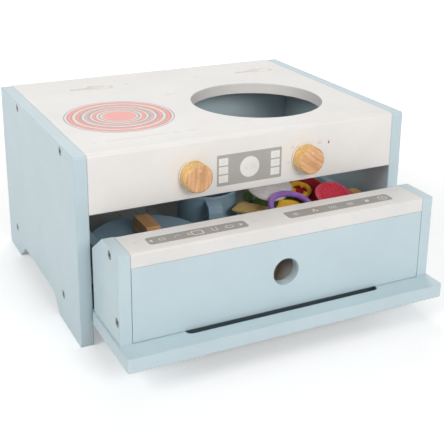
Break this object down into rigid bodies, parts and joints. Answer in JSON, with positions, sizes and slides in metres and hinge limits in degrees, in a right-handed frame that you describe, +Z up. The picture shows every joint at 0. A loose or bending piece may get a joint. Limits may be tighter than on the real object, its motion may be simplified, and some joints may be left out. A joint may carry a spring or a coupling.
{
  "type": "play kitchen",
  "caption": "Table-top wooden play kitchen with a printed hob, a round sink cut-out, turning knobs and a front unit on a sliding tray that stores pots and felt food.",
  "frame": {"origin": "on the floor, under the middle of the whole object at rest", "axes": "+Z up, +Y from the front unit to the rear of the cabinet, +X to the right seen from the front"},
  "size_m": [0.4, 0.418, 0.214],
  "materials": {
    "blue_paint": "satin paint on fibreboard",
    "white_paint": "satin paint on fibreboard",
    "tray_paint": "satin paint",
    "pot_paint": "satin paint",
    "tray_plywood": "raw plywood",
    "beech": "sanded and oiled",
    "runner_wood": "sanded",
    "steel": "zinc plated",
    "felt_pink_red": "felt",
    "felt_crimson": "felt",
    "felt_yellow": "felt",
    "felt_purple": "felt",
    "felt_white": "felt",
    "felt_green": "felt",
    "felt_tan": "felt"
  },
  "bodies": {
    "cabinet": {"left_side_panel": "blue_paint", "right_side_panel": "blue_paint", "worktop": "white_paint", "fascia": "white_paint", "bottom_board": "blue_paint", "back_panel": "blue_paint", "left_runner": "runner_wood", "right_runner": "runner_wood", "left_panel_screws": "steel", "right_panel_screws": "steel", "left_runner_screws": "steel", "right_runner_screws": "steel", "board_dowels": "runner_wood"},
    "tray": {"casserole": "pot_paint", "casserole_handles": "pot_paint", "casserole_lid": "pot_paint", "control_ledge": "white_paint", "felt_beet": "felt_crimson", "felt_cheese": "felt_tan", "felt_corn": "felt_yellow", "felt_egg": "felt_white", "felt_leaf": "felt_green", "felt_lettuce": "felt_green", "felt_onion_ring": "felt_purple", "felt_pepper_ring": "felt_yellow", "felt_pepper_strip": "felt_yellow", "felt_toast_lower": "felt_tan", "felt_toast_upper": "felt_tan", "felt_tomato": "felt_pink_red", "front_base_board": "blue_paint", "front_panel": "blue_paint", "frying_pan": "pot_paint", "left_base_screws": "steel", "left_cheek": "blue_paint", "left_cheek_screws": "steel", "left_tray_wall": "tray_paint", "left_wall_screws": "steel", "lid_handle": "beech", "pan_handle": "beech", "pot": "pot_paint", "pot_handle": "pot_paint", "right_base_screws": "steel", "right_cheek": "blue_paint", "right_cheek_screws": "steel", "right_tray_wall": "tray_paint", "right_wall_screws": "steel", "tray_floor": "tray_plywood", "tray_rear_wall": "tray_paint"},
    "left_knob": {"left_knob": "beech", "left_knob_bolt": "steel", "left_knob_nut": "steel"},
    "right_knob": {"right_knob": "beech", "right_knob_bolt": "steel", "right_knob_nut": "steel"}
  },
  "joints": [
    {"name": "tray_slide", "type": "slide", "parent": "cabinet", "child": "tray", "axis": [0, -1, 0], "range_m": [-0.0045, 0.15]},
    {"name": "left_knob_turn", "type": "hinge", "parent": "cabinet", "child": "left_knob", "pos_m": [-0.069, -0.107, 0.1763], "axis": [0, -1, 0], "continuous": true},
    {"name": "right_knob_turn", "type": "hinge", "parent": "cabinet", "child": "right_knob", "pos_m": [0.069, -0.107, 0.1763], "axis": [0, -1, 0], "continuous": true}
  ]
}
